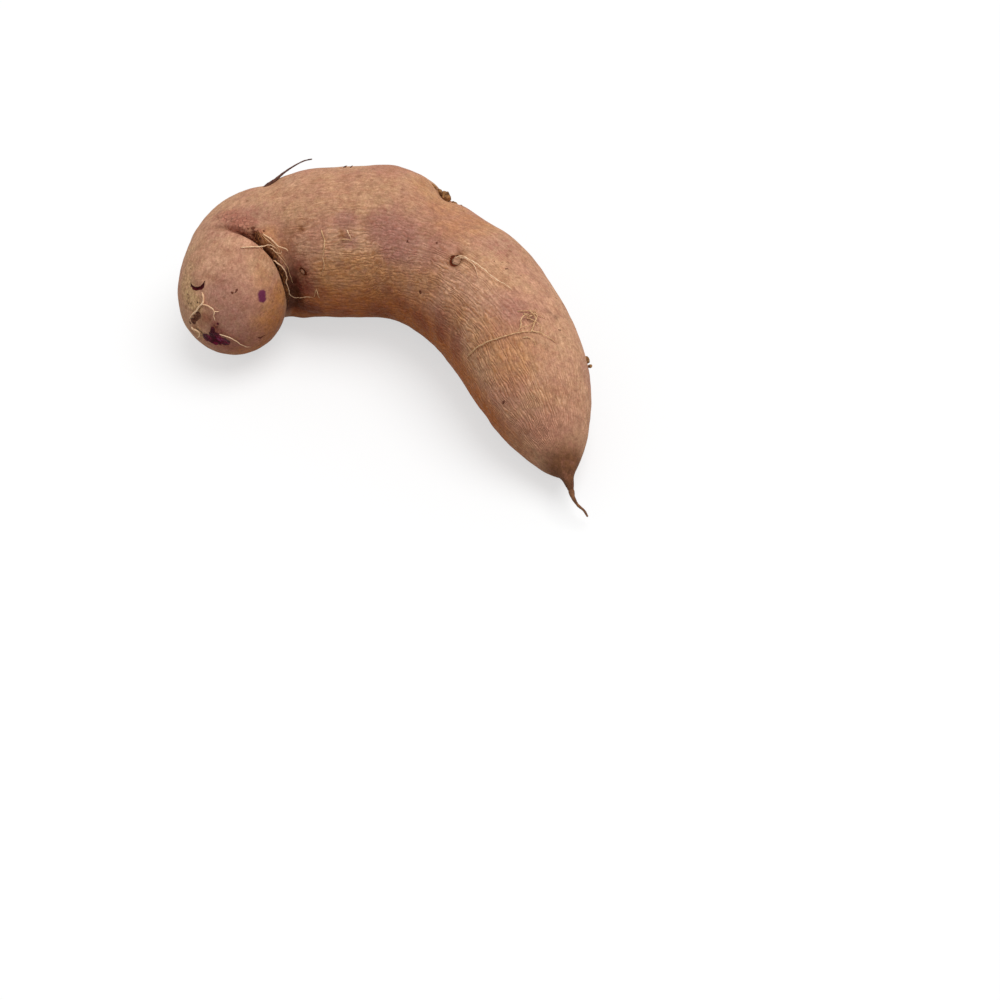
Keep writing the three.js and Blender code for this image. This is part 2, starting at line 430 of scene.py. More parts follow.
def undulate(skin):
    """Soft unevenness all over, which keeps the skin from looking turned on a lathe."""
    quiet = ramp(skin.straight[..., 0].max() - skin.straight[..., 0], 2, 25)
    soft = 0.5 * fractal(skin.plain, 24, 1, 2) + 0.22 * fractal(skin.plain, 8, 2, 2)
    skin.height += soft * quiet


def wrinkle(skin):
    """Fine ripples along the root, strongest on the hollow side of the hook."""
    body = ramp(skin.station, 5.0, 6.0) * (1 - ramp(skin.station, 15, 16.3))
    hollow = skin.side(180, 58) * body
    arm = skin.side(142, 42) * ramp(skin.station, 10.3, 11.3) * body
    tail = ramp(skin.station, 13.8, 15)
    amount = np.clip(0.08 + 0.16 * body + 0.75 * hollow + 0.6 * arm + 0.5 * tail, 0, 1)
    skin.add_stain("wrinkle", amount)
    stretched = skin.straight / np.array([5.0, 1.0, 1.0])
    skin.height += 0.22 * amount * fractal(stretched, 2.8, 3, 2)


def crumple_fold(skin):
    """Small folds and pebbles where the head meets the body, painted shade deep in the fold, and humus in it.
    """
    distance = skin.station - fold_middle(skin.angle)
    fade = fold_fade(skin.angle)
    behind = bell(distance - 0.35, 0.35) * fade
    skin.height += 0.5 * behind * fractal(skin.plain, 3.0, 4)
    low = ramp(skin.angle, 150, 172)
    # Painted shade: the depths of the fold are darkened in colour, most widely at its low end.
    inside = bell(distance - 0.06 - 0.32 * low, 0.12 + 0.16 * low) * skin.side(164, 40)
    skin.add_stain("dirt_and_painted_shade", 1.3 * inside)
    skin.add_stain("humus", bell(distance - 0.2, 0.2) * skin.side(140, 30))


def press_dents(skin):
    for station, angle, radius, depth in DENTS:
        skin.height -= depth * bell(skin.distance(station, angle, skin.plain), radius)


def spread_stains(skin):
    for name, marks in STAINS.items():
        for station, angle, radius, strength in marks:
            reach = 1 - ramp(skin.distance(station, angle, skin.ragged), 0.5 * radius, 1.5 * radius)
            skin.add_stain(name, strength * reach)
    # Russet over the hollow underside of the body and arm, and under the head: the skin's own tone, deepened
    # as painted shade of the underside.
    turn = (skin.angle - 160 + 14 * ramp(skin.station, 9, 11)) % 360
    body = ramp(skin.station, 4.4, 5.4) * (1 - ramp(skin.station, 14, 16))
    skin.add_stain("russet_and_painted_shade", ramp(turn, 8, 36) * (1 - ramp(turn, 100, 170)) * body)
    low_head = skin.side(215, 50) * (1 - ramp(skin.station, 2.4, 3.4))
    skin.add_stain("russet_and_painted_shade", 0.8 * low_head)
    outer = skin.side(20, 60) * ramp(skin.station, 10.8, 12.3)
    head_top = skin.side(30, 50) * (1 - ramp(skin.station, 3, 5))
    skin.add_stain("pale", 0.6 * outer + 0.5 * head_top)
    skin.add_stain("root_end", ramp(skin.station, 15.7, 16.9))


def build_skin():
    skin = Skin()
    undulate(skin)
    wrinkle(skin)
    crumple_fold(skin)
    press_dents(skin)
    spread_stains(skin)
    return skin


def with_ends(values):
    """Values of the rings between the ends, then the means at the two ends."""
    shape = (-1,) + values.shape[2:]
    ends = np.stack([values[0].mean(axis=0), values[-1].mean(axis=0)])
    return np.concatenate([values[1:-1].reshape(shape), ends])


def closed_faces(rows, columns):
    """The faces of a grid that is closed around and has a point at each end, after the grid's own points."""
    here = np.arange(columns)
    after = (here + 1) % columns
    faces = []
    for low in range(0, (rows - 1) * columns, columns):
        high = low + columns
        faces += np.stack([low + here, high + here, high + after, low + after], axis=1).tolist()
    first, last = rows * columns, rows * columns + 1
    base = (rows - 1) * columns
    faces += [[first, a, b] for a, b in zip(here.tolist(), after.tolist())]
    return faces + [[last, base + b, base + a] for a, b in zip(here.tolist(), after.tolist())]


def skin_object(skin):
    """The skin as a closed mesh: the rings between the ends, and one point at each end."""
    piece = mesh_object("skin", with_ends(skin.surface()), closed_faces(RINGS - 2, AROUND))
    for name, values in skin.stain.items():
        attribute = piece.data.attributes.new(name, "FLOAT", "POINT")
        attribute.data.foreach_set("value", with_ends(values).ravel())
    straight = piece.data.attributes.new("straight", "FLOAT_VECTOR", "POINT")
    straight.data.foreach_set("vector", with_ends(skin.straight).ravel())
    return piece


def mesh_object(name, vertices, faces):
    """An object from points in millimetres."""
    mesh = bpy.data.meshes.new(name)
    mesh.from_pydata((np.asarray(vertices) * MM).tolist(), [], faces)
    mesh.validate()
    mesh.shade_smooth()
    return new_object(name, mesh)


def new_object(name, data):
    thing = bpy.data.objects.new(name, data)
    bpy.context.collection.objects.link(thing)
    return thing


# ---- Rootlets: dry roots that lie on the skin or stand off it ----

# Each is its thickness in mm and its points: station, angle and height above the skin.
PALE_ROOTLETS = [
    (0.65, [(4.27, 119.5, 0.1), (4.41, 127.5, 0.5), (4.52, 134, 0.5), (4.64, 139, 0.6), (5.1, 144.2, 0.6),
        (5.28, 147, 0.6), (5.15, 149, 0.1)]),
    (0.55, [(2.93, 103.6, 0.1), (3.02, 108.4, 0.3), (3.15, 112.9, 0.4), (3.48, 122.5, 0.7),
        (4.15, 130.5, 1), (4.41, 136.7, 0.6), (4.53, 141, 0.1)]),
    (0.55, [(3.48, 123, 0.7), (3.9, 129.5, 1), (4.2, 135.5, 0.6), (4.35, 141, 0.5), (4.6, 145.5, 0.7),
        (4.68, 143.5, 0.4)]),
    (0.5, [(4.1, 143, 0.1), (4.14, 146.5, 0.3), (4.32, 154.5, 0.4), (4.4, 160.3, 0.4), (4.46, 168.1, 0.6),
        (4.36, 172.6, 0.5), (4.41, 180.9, 0.5), (4.46, 187.5, 0.7), (5, 195, 0.8), (5.5, 195, 0.6),
        (6.21, 189.6, 0.8), (6.6, 190, 0.1)]),
    (0.5, [(11.3, 110, 0.3), (11.4, 106.8, 0.7), (11.51, 104.2, 0.8), (11.65, 103.2, 0.7),
        (11.8, 103.4, 0.6), (11.95, 106.3, 0.1)]),
    (0.6, [(11.28, 111, 0.5), (11.4, 106, 0.9), (11.58, 102.6, 0.9), (11.8, 99.2, 0.9), (12.08, 96, 0.9),
        (12.29, 91.5, 0.7), (12.42, 88, 0.5), (12.55, 85.8, 0.1)]),
    (0.5, [(7.73, 133.5, 0.1), (7.8, 137.3, 0.6), (7.86, 140.6, 0.1)]),
    (0.6, [(0.71, 72.5, 0.2), (0.69, 82, 0.6), (0.67, 90, 0.7), (0.62, 97, 0.7), (0.53, 101.4, 0.6),
        (0.41, 102, 0.5), (0.31, 109, 0.1)]),
    (0.5, [(0.56, 100, 0.6), (0.58, 104.5, 0.5), (0.61, 110, 0.1)]),
    (0.85, [(1.1, 71, -0.3), (0.9, 74.8, -0.2), (0.73, 73.7, 0), (0.62, 66, 0.2), (0.52, 56, 0.3),
        (0.49, 36.5, 0.3), (0.5, 18.6, 0)]),
    (0.8, [(0.36, 5, 0.1), (0.27, 4, 0.5), (0.14, 16.5, 0.8), (0.09, 9.6, 0.8), (0.11, 346, 0.5),
        (0.27, 331, 0.1)]),
    (0.45, [(0.11, 148, 0.2), (0.16, 155, 0.4), (0.34, 172.7, 0.6), (0.51, 187.3, 0.6), (0.76, 200.8, 0.5),
        (1.15, 209, 0.1)]),
]
TAN_ROOTLETS = [
    (0.65, [(12.85, 161, 0.1), (12.95, 152.4, 0.3), (13.06, 141.5, 0.3), (13.19, 129.8, 0.4),
        (13.31, 118.9, 0.3), (13.38, 108.7, 0.3), (13.45, 99.3, 0.3), (13.52, 88, 0.1)]),
    (0.5, [(13.36, 97, 0.1), (13.3, 95, 0.6), (13.22, 93, 1), (13.17, 88.4, 1.2), (13.22, 85.8, 1),
        (13.19, 80.4, 0.8), (13.05, 74, 0.1)]),
    (0.6, [(13.53, 89.3, 0.1), (13.44, 85.9, 0.7), (13.33, 81.6, 1.1), (13.22, 81, 1.3), (13.12, 83, 1),
        (13.06, 80, 0.3)]),
    (0.45, [(13.5, 88.1, 0.2), (13.6, 81.4, 0.5), (13.71, 74.8, 0.4), (13.82, 67, 0.1)]),
    (0.4, [(13.1, 79, 0.1), (13.24, 78, 0.7), (13.34, 82, 1), (13.4, 89, 0.8), (13.36, 96, 0.4),
        (13.42, 102, 0.1)]),
    (0.4, [(13.2, 88, 0.3), (13.28, 85, 0.9), (13.4, 80, 0.8), (13.52, 79, 0.4), (13.6, 83, 0.1)]),
    (0.4, [(13.02, 92, 0.1), (13.07, 87, 0.5), (13.12, 80, 0.9), (13.22, 75, 0.6), (13.3, 70, 0.1)]),
    (0.4, [(13.56, 99, 0.1), (13.62, 93, 0.4), (13.74, 90, 0.4), (13.86, 92, 0.1)]),
    (0.35, [(13.1, 88, 0.2), (13.16, 84, 0.6), (13.14, 79, 0.5), (13.2, 77, 0.1)]),
    (0.35, [(4.45, 126, 0), (4.55, 138, 0.3), (4.6, 148, 0.4), (4.75, 156, 0.1)]),
    (0.35, [(4.2, 118, 0), (4.3, 128, 0.3), (4.45, 136, 0.3), (4.5, 146, 0.1)]),
    (0.35, [(4.3, 138, 0), (4.5, 149, 0.5), (4.7, 161, 0.4), (4.75, 172, 0.4), (4.9, 180, 0.1)]),
    (0.55, [(7.02, 132, 0), (7.08, 136, 0.3), (7.13, 140.3, 0.3), (7.12, 145, 0.3), (7.06, 153, -0.3),
        (7.09, 159, 0.3), (7.02, 164, 0.3), (6.9, 169, 0.1)]),
    (0.45, [(6.74, 181, 0.1), (6.79, 185, 0.4), (6.84, 189.5, 0.1)]),
    (0.35, [(6.7, 182, 0.1), (6.66, 186, 0.3), (6.62, 189, 0.1)]),
    (0.5, [(7.56, 140.2, 0.1), (7.7, 140.4, 0.4), (7.88, 141.2, 0.2)]),
    (0.7, [(8.3, 8, 0.3), (8.4, 2, 0.8), (8.6, -4, 0.9), (8.8, -12, 0.6), (8.9, -22, 0.1)]),
    (0.6, [(12.8, -28, 0.3), (12.95, -32, 0.8), (13.05, -40, 0.7), (13.3, -44, 0.3), (13.45, -42, 0.1)]),
    (0.6, [(2.9, -35, 0.3), (2.8, -30, 0.8), (2.65, -22, 0.7), (2.4, -18, 0.3), (2.3, -10, 0.1)]),
    (0.5, [(10.6, -65, 0.3), (10.5, -60, 0.8), (10.3, -54, 0.8), (10.2, -46, 0.5), (10.25, -38, 0.1)]),
]

# Stiff dark stumps, given in the same way.
DARK_STUMPS = [
    (0.7, [(7.5, 60, -0.3), (7.54, 59.6, 0.1), (7.58, 59, 0.4)]),
    (0.5, [(7.66, 63, -0.3), (7.69, 62.6, 0.1), (7.72, 62, 0.3)]),
]

# Roots that stand clear of the skin: thickness, where they leave it, and their way from there in mm.
LONG_ROOT = (
    1.7, (5.66, 62),
    [(-2, -1.6, -1.6), (0, 0, 0), (3.4, 1.9, 1.6), (6.4, 3.9, 3.2), (10.2, 6.3, 4.6), (13.8, 8.2, 5.5),
     (16.8, 9, 5.8)],
)
TAIL_ROOT = (
    2.6, (18.7, 90),
    [(-0.6, 2.6, -1.4), (0, 0, -1.4), (0.6, -2.6, -2.2), (2.2, -5, -3.6), (4.4, -6.2, -5.2),
     (5.6, -7.8, -6.4)],
)

ROOT_TIP = 0.5  # how thick a root's end is, as a share of its thickness


def smooth_path(points, step=0.3):
    """A Catmull-Rom curve through the points, sampled about every step."""
    points = np.asarray(points, float)
    padded = np.vstack([2 * points[0] - points[1], points, 2 * points[-1] - points[-2]])
    path = []
    for k in range(len(points) - 1):
        a, b, c, d = padded[k:k + 4]
        count = max(2, int(np.linalg.norm(c - b) / step))
        t = (np.arange(count) / count)[:, None]
        bend = 2 * b + (c - a) * t + (2 * a - 5 * b + 4 * c - d) * t ** 2
        path.append(0.5 * (bend + (3 * b - a - 3 * c + d) * t ** 3))
    return np.vstack([*path, points[-1:]])


def tube(path, radius, sides=7):
    """A round tube along a path, which ends in points: its vertices and faces."""
    tangent = unit(np.gradient(path, axis=0))
    side = unit(np.cross(tangent[0], [0.3, 0.5, 0.8]))
    rings = []
    turn = np.arange(sides) * 2 * np.pi / sides
    for centre, ahead, thick in zip(path, tangent, radius):
        side = unit(side - ahead * (side @ ahead))
        up = np.cross(ahead, side)
        rings.append(centre + thick * (np.cos(turn)[:, None] * side + np.sin(turn)[:, None] * up))
    start = path[:1] - tangent[:1] * radius[0]
    end = path[-1:] + tangent[-1:] * radius[-1]
    # The rings turn the other way from the skin's, so the faces are turned over, each about its first corner.
    faces = [[corner, *others[::-1]] for corner, *others in closed_faces(len(path), sides)]
    return np.vstack([*rings, start, end]), faces


def join_parts(name, parts):
    """One object from several lots of vertices and faces."""
    faces = []
    start = 0
    for vertices, part_faces in parts:
        faces += [[start + corner for corner in face] for face in part_faces]
        start += len(vertices)
    return mesh_object(name, np.vstack([vertices for vertices, _ in parts]), faces)


def root(path, thickness, seed):
    """A knobbly root along a path, which tapers towards its end."""
    path = smooth_path(path)
    wobble = np.stack([fractal(path, 2.2, seed + axis, 2) for axis in range(3)], axis=-1)
    path += 0.2 * wobble
    knobbly = 1 + 0.25 * fractal(path, 1.3, seed + 3, 2)
    share = np.linspace(0, 1, len(path))
    taper = (1 + (ROOT_TIP - 1) * share) * (1 - 0.6 * bell(share, 0.04) - 0.7 * bell(1 - share, 0.06))
    return tube(path, thickness / 2 * taper * knobbly)


def roots_object(name, skin, roots, seed):
    surface = skin.surface()
    parts = []
    for number, (thickness, points) in enumerate(roots):
        # The middle of a rootlet is a third of its thickness above the height that its points give.
        path = [skin.above(surface, *place, lift + thickness / 3) for *place, lift in points]
        parts.append(root(path, thickness, seed + 5 * number))
    return join_parts(name, parts)


# The fine fibres in the fold: how many, and their ranges of place, length and thickness.
FIBRES = 90
FIBRE_ANGLES = (114, 200)
FIBRE_LENGTHS = (2.0, 5.5)
FIBRE_THICKNESSES = (0.16, 0.3)
MM_PER_DEGREE = 0.4  # near the fold, around the root
MM_PER_STATION = 11  # near the fold, along the root


def fold_fibres(skin):
    """Short fine fibres that lie along the fold, on the body's side of it."""
    random = np.random.default_rng(5)
    surface = skin.surface()
    parts = []
    for number in range(FIBRES):
        angle = random.uniform(*FIBRE_ANGLES)
        beyond = random.uniform(-0.02, 0.32) + 0.3 * ramp(angle, 150, 175) * random.uniform(0, 1)
        turn = random.normal(0, 0.6)
        length = random.uniform(*FIBRE_LENGTHS)
        share = np.linspace(-0.5, 0.5, 5)
        curl = random.normal(0, 0.5)
        ahead = share * math.cos(turn) - curl * share ** 2 * math.sin(turn)
        across = share * math.sin(turn) + curl * share ** 2 * math.cos(turn)
        path = []
        for step, drift in zip(length * ahead, length * across):
            at = angle + step / MM_PER_DEGREE
            station = fold_middle(at) + beyond + drift / MM_PER_STATION
            lift = 0.1 + random.uniform(0, 0.35)
            path.append(skin.above(surface, station, at, lift))
        thickness = random.uniform(*FIBRE_THICKNESSES)
        parts.append(root(path, thickness, 300 + 5 * number))
    return join_parts("fold_fibres", parts)


def free_root(name, skin, thickness, base, way):
    """A root that stands clear of the skin, thick where it leaves it and thin at its end."""
    path = smooth_path(skin.sample(skin.surface(), *base) + np.array(way))
    share = np.linspace(0, 1, len(path))
    knobbly = 1 + 0.15 * fractal(path, 1.3, 90, 2)
    radius = thickness / 2 * (0.3 + 0.7 * bell(share, 0.45)) * knobbly
    return join_parts(name, [tube(path, radius)])


def lump(origin, axes, rough_seed):
    """A rough ball: its vertices and faces. The axes' lengths are its radii."""
    rows, columns = 40, 56
    tilt = np.linspace(0, np.pi, rows)[1:-1, None]
    turn = np.arange(columns)[None, :] * 2 * np.pi / columns
    ball = np.stack([
        np.sin(tilt) * np.cos(turn), np.sin(tilt) * np.sin(turn), np.cos(tilt) + 0 * turn,
    ], axis=-1).reshape(-1, 3)
    ball = np.vstack([ball, [[0, 0, 1], [0, 0, -1]]])
    shaped = ball @ axes
    rough = 1 + 0.3 * fractal(shaped, 1.8, rough_seed, 4)
    return origin + shaped * rough[:, None], closed_faces(rows - 2, columns)


# The lumps of the torn roots' stumps: station, angle, lift, and radii along, around and outwards.
STUMP_LUMPS = [
    (9.67, 44, 0.6, (2.3, 2.1, 2.0)),
    (9.6, 51, 0.2, (1.5, 1.2, 1.1)),
    (9.52, 57, 0.1, (1.6, 0.6, 0.5)),
    (9.82, 36, 0.1, (1.2, 1.2, 0.7)),
    (9.98, 38, 0.1, (0.8, 0.6, 0.6)),
    (13.78, 15, 0.2, (1.3, 1.2, 1.0)),
    (13.88, 12, 0.7, (0.7, 0.6, 0.9)),
]


def root_stump(skin):
    """The corky stumps of two torn roots: one in the dip at the shoulder, and a small one on the arm."""
    parts = []
    for number, (station, angle, lift, radii) in enumerate(STUMP_LUMPS):
        origin, along, around, normal = skin.frame_at(station, angle)
        axes = np.stack([along, around, normal]) * np.array(radii)[:, None]
        parts.append(lump(origin + normal * lift, axes, 70 + number))
    return join_parts("root_stump", parts)


# ---- Materials ----

def srgb(red, green, blue):
    """A colour from its screen values, 0 to 255."""
    channels = [c / 255 for c in (red, green, blue)]
    linear = [c / 12.92 if c <= 0.04045 else ((c + 0.055) / 1.055) ** 2.4 for c in channels]
    return (*linear, 1.0)


# The broad stains, in the order they go on: colour, and the share that shows where they are thinnest.
# Russet and wine also carry painted shade: they darken the underside and the hook's hollow.
BROAD_STAINS = [
    ("pale", srgb(208, 164, 134), 0.5),
    ("golden", srgb(192, 137, 86), 0.6),
    ("russet_and_painted_shade", srgb(178, 110, 62), 0.8),
    ("mauve", srgb(165, 118, 107), 0.5),
    ("rash", srgb(180, 117, 99), 0.5),
    ("wine_and_painted_shade", srgb(128, 66, 52), 0.5),
]

# What is darkened is multiplied by these.
MOTTLE_TINT = (0.86, 0.82, 0.78)
STREAK_TINT = (0.93, 0.895, 0.86)
# The grooves' tint is partly the skin's own tone and partly painted shade.
GROOVE_SHADE_TINT = (0.81, 0.66, 0.52)

# The curved cut on the head: the centre of its arc, its radius, and half of its width, in mm. The arc is
# the part of the circle that lies more than CUT_ENDS from the centre, towards the head's tip.
CUT_STATION = 1.54
CUT_ANGLE = 64.5
CUT_RADIUS = 3.5
CUT_ENDS = 0.9
CUT_HALF_WIDTH = 0.95


class Nodes:
    """Short ways to make shader nodes. An input may be a number, a colour or another node's output."""

    def __init__(self, tree):
        self.tree = tree
        tree.nodes.clear()

    def feed(self, socket, value):
        if isinstance(value, bpy.types.NodeSocket):
            self.tree.links.new(value, socket)
        else:
            socket.default_value = value

    def add(self, kind, inputs=(), output=0, **settings):
        node = self.tree.nodes.new("ShaderNode" + kind)
        for key, value in settings.items():
            setattr(node, key, value)
        for key, value in dict(inputs).items():
            self.feed(node.inputs[key], value)
        return node.outputs[output] if node.outputs else None

    def attribute(self, name, output="Fac"):
        return self.add("Attribute", output=output, attribute_name=name)

    def math(self, operation, first, second=0.0, third=0.0, clamp=False):
        inputs = {0: first, 1: second, 2: third}
        return self.add("Math", inputs, operation=operation, use_clamp=clamp)

    def times(self, first, second):
        return self.math("MULTIPLY", first, second)

    def times_plus(self, first, second, third):
        """The first times the second, plus the third."""
        return self.math("MULTIPLY_ADD", first, second, third)

    def vector(self, operation, first, second, output=0):
        return self.add("VectorMath", {0: first, 1: second}, output, operation=operation)

    def dot(self, first, second):
        return self.vector("DOT_PRODUCT", first, second, "Value")

    def length(self, vector):
        return self.vector("LENGTH", vector, vector, "Value")

    def mix(self, amount, first, second):
        inputs = {"Factor": amount, 6: first, 7: second}
        return self.add("Mix", inputs, 2, data_type="RGBA")

    def shade(self, colour, level):
        """The colour made darker or lighter by a level, where 1 keeps it."""
        return self.add("VectorMath", {0: colour, 3: level}, operation="SCALE")

    def tint(self, colour, amount, dark, light):
        """The colour times dark where the amount is 0, and times the level of light where it is 1."""
        factor = self.mix(amount, (*dark, 1.0), (light, light, light, 1.0))
        return self.vector("MULTIPLY", colour, factor)

    def noise(self, vector, grain, detail=2.0, rough=0.5, output="Fac"):
        """Noise whose waves are the grain's size, in the vector's own unit."""
        inputs = {"Vector": vector, "Scale": 1 / grain, "Detail": detail, "Roughness": rough}
        return self.add("TexNoise", inputs, output)

    def jitter(self, vector, grain, amount):
        """The vector moved about by noise."""
        noise_colour = self.noise(vector, grain, detail=1.0, output="Color")
        push = self.vector("SUBTRACT", noise_colour, (0.5, 0.5, 0.5))
        inputs = {0: push, 1: (2 * amount,) * 3, 2: vector}
        return self.add("VectorMath", inputs, operation="MULTIPLY_ADD")

    def cells(self, vector, spacing):
        """A pattern of cells this far apart: the node's outputs."""
        return self.add("TexVoronoi", {"Vector": vector, "Scale": 1 / spacing}).node.outputs

    def line(self, away, width):
        """1 where away is 0, down to 0 where it is the width."""
        return self.math("SUBTRACT", 1.0, self.math("DIVIDE", away, width), clamp=True)

    def ramp(self, value, low, high, start=0.0, end=1.0):
        inputs = {"Value": value, "From Min": low, "From Max": high, "To Min": start, "To Max": end}
        return self.add("MapRange", inputs, interpolation_type="SMOOTHSTEP")

    def strongest(self, values):
        result = values[0]
        for value in values[1:]:
            result = self.math("MAXIMUM", result, value)
        return result


def new_material(name):
    material = bpy.data.materials.new(name)
    material.use_nodes = True
    return material, Nodes(material.node_tree)


def in_millimetres(n):
    place = n.add("TexCoord", output="Object")
    return n.vector("MULTIPLY", place, (1 / MM, 1 / MM, 1 / MM))


def finish_surface(n, colour, roughness, gloss, relief):
    """The end of a material: its surface, with a relief in millimetres."""
    bump = n.add("Bump", {"Strength": 1.0, "Distance": MM, "Height": relief})
    inputs = {"Base Color": colour, "Roughness": roughness, "Specular IOR Level": gloss, "Normal": bump}
    n.add("OutputMaterial", {"Surface": n.add("BsdfPrincipled", inputs)})


def tan_base(n, place):
    """Tan, yellower in some broad patches, pinker in others and browner in a few."""
    yellow = n.ramp(n.noise(place, 20, detail=3, rough=0.6), 0.36, 0.62)
    brown = n.ramp(n.noise(place, 8, detail=3, rough=0.6), 0.47, 0.72, 0.0, 0.6)
    return n.mix(brown, n.mix(yellow, srgb(186, 136, 113), srgb(197, 154, 121)), srgb(170, 120, 88))


def broad_stains(n, colour, place, middling):
    """The soft stains, which are patchy and strongest in the middle of each mark."""
    for name, stain, least in BROAD_STAINS:
        amount = n.times(n.attribute(name), n.ramp(middling, 0.3, 0.6, least, 1.0))
        colour = n.mix(amount, colour, stain)
    patchy = n.ramp(n.noise(place, 1.0, detail=3, rough=0.7), 0.3, 0.6, 0.3, 1.0)
    colour = n.mix(n.times(n.attribute("humus"), patchy), colour, srgb(138, 86, 48))
    return n.mix(n.attribute("root_end"), colour, srgb(124, 84, 58))


def mottled(n, colour, place, fine, middling):
    """Pink flecks, most of them in the mauve patches, and lighter and darker specks of three sizes."""
    flecks = n.ramp(n.noise(place, 2.0, detail=3, rough=0.6), 0.45, 0.65)
    pink = n.times(flecks, n.times_plus(n.attribute("mauve"), 0.3, 0.3))
    colour = n.mix(pink, colour, srgb(170, 112, 98))
    colour = n.tint(colour, n.ramp(fine, 0.25, 0.75), MOTTLE_TINT, 1.14)
    colour = n.shade(colour, n.ramp(n.noise(place, 0.55), 0.3, 0.7, 0.93, 1.06))
    return n.shade(colour, n.ramp(middling, 0.25, 0.75, 0.87, 1.11))


def ripples(n, straight, count, wander, shift):
    """Wavy lines along the root, a whole number of them around it, from 0 in the grooves to 1."""
    parts = n.add("SeparateXYZ", {0: straight}).node.outputs
    turn = n.math("ARCTAN2", parts["Z"], parts["Y"])
    drift = n.vector("MULTIPLY", straight, (1 / 2.5, 1.0, 1.0))
    drift = n.vector("ADD", drift, (shift, 0, 0))
    bend = n.times(n.noise(drift, 3.2), wander)
    return n.times_plus(n.math("SINE", n.times_plus(turn, count, bend)), 0.5, 0.5)


def rippled(n, colour, place):
    """The ripples: the colour with them, their wave, and how deep they are."""
    straight = n.attribute("straight", "Vector")
    coarse = ripples(n, straight, count=84, wander=21, shift=0)
    close = ripples(n, straight, count=131, wander=25, shift=70)
    layers = n.ramp(n.noise(place, 4.0, detail=1), 0.4, 0.6)
    ripple = n.add("Mix", {"Factor": layers, 2: coarse, 3: close})
    streaks = n.noise(n.vector("MULTIPLY", straight, (1 / 3, 1.0, 1.0)), 1.0)
    patchy = n.ramp(n.noise(place, 5.0), 0.3, 0.6, 0.45, 1.0)
    broken_up = n.times(patchy, n.ramp(streaks, 0.3, 0.6, 0.35, 1.0))
    depth = n.times(n.attribute("wrinkle"), broken_up)
    # The grooves are darkened and the crests lightened in colour: partly the skin's own tone, partly painted
    # shade in the grooves and painted highlights on the crests.
    groove = n.times(n.ramp(ripple, 0.0, 0.55, 1.0, 0.0), depth)
    crest_highlight = n.times(n.ramp(ripple, 0.5, 1.0), depth)
    colour = n.tint(colour, n.ramp(streaks, 0.3, 0.7), STREAK_TINT, 1.08)
    colour = n.shade(colour, n.times_plus(crest_highlight, 0.3, 1.0))
    return n.mix(groove, colour, n.vector("MULTIPLY", colour, GROOVE_SHADE_TINT)), ripple, depth


def pebbled(n, colour, place):
    """The pebbly skin behind the fold: the colour with it, and the gaps between the pebbles."""
    pebble = n.cells(n.jitter(place, 2.0, amount=0.5), spacing=1.5)["Distance"]
    gaps = n.times(n.ramp(pebble, 0.35, 0.7), n.attribute("rash"))
    return n.mix(n.times(gaps, 0.5), colour, srgb(128, 70, 54)), gaps


def corky_dots(n, place, spacing, radius, share):
    """Small round pores. The radius is a share of the spacing, and share is how many there are."""
    cells = n.cells(n.jitter(place, 1.2, amount=0.3), spacing)
    dot = n.ramp(cells["Distance"], 0.4 * radius, 1.3 * radius, 1.0, 0.0)
    lot = n.dot(cells["Color"], (1, 0, 0))
    return n.times(dot, n.ramp(lot, 0.97 - share, 1.03 - share))


def dotted(n, colour, place):
    """Pores in loose clusters, most of them where the skin is smooth."""
    smooth_side = n.ramp(n.attribute("wrinkle"), 0.3, 0.7, 1.0, 0.2)
    clusters = n.ramp(n.noise(place, 11, detail=1), 0.4, 0.6, 0.25, 1.0)
    small = corky_dots(n, place, spacing=2.8, radius=0.26, share=0.3)
    large = corky_dots(n, place, spacing=6.5, radius=0.17, share=0.6)
    dots = n.times(n.strongest([small, large]), n.times(smooth_side, clusters))
    return n.mix(n.times(dots, 0.5), colour, srgb(130, 82, 54)), dots


def soiled(n, colour, place, fine, gritty):
    """Dry pale soil with dark specks in it, and a dark stain: grime, and painted shade in and below the fold.
    """
    soil = n.times(n.attribute("soil"), n.ramp(gritty, 0.35, 0.6, 0.4, 1.0))
    colour = n.mix(soil, colour, n.mix(n.ramp(fine, 0.35, 0.65), srgb(170, 132, 92), srgb(226, 188, 138)))
    specks = n.times(n.attribute("soil"), n.ramp(n.noise(place, 1.3), 0.56, 0.68))
    colour = n.mix(specks, colour, srgb(84, 58, 40))
    # One dark brown for grime and for painted shade in and below the fold.
    dirt_and_painted_shade = n.times(n.attribute("dirt_and_painted_shade"), n.ramp(gritty, 0.3, 0.6, 0.7, 1.0))
    return n.mix(dirt_and_painted_shade, colour, srgb(70, 32, 16))


def broken(n, name, grain, spread, soft):
    """A stain's soft mask given a ragged edge, which may be firm or soft."""
    ragged = n.times_plus(n.math("SUBTRACT", grain, 0.5), spread, n.attribute(name))
    return n.ramp(ragged, 0.5 - soft, 0.5 + soft)


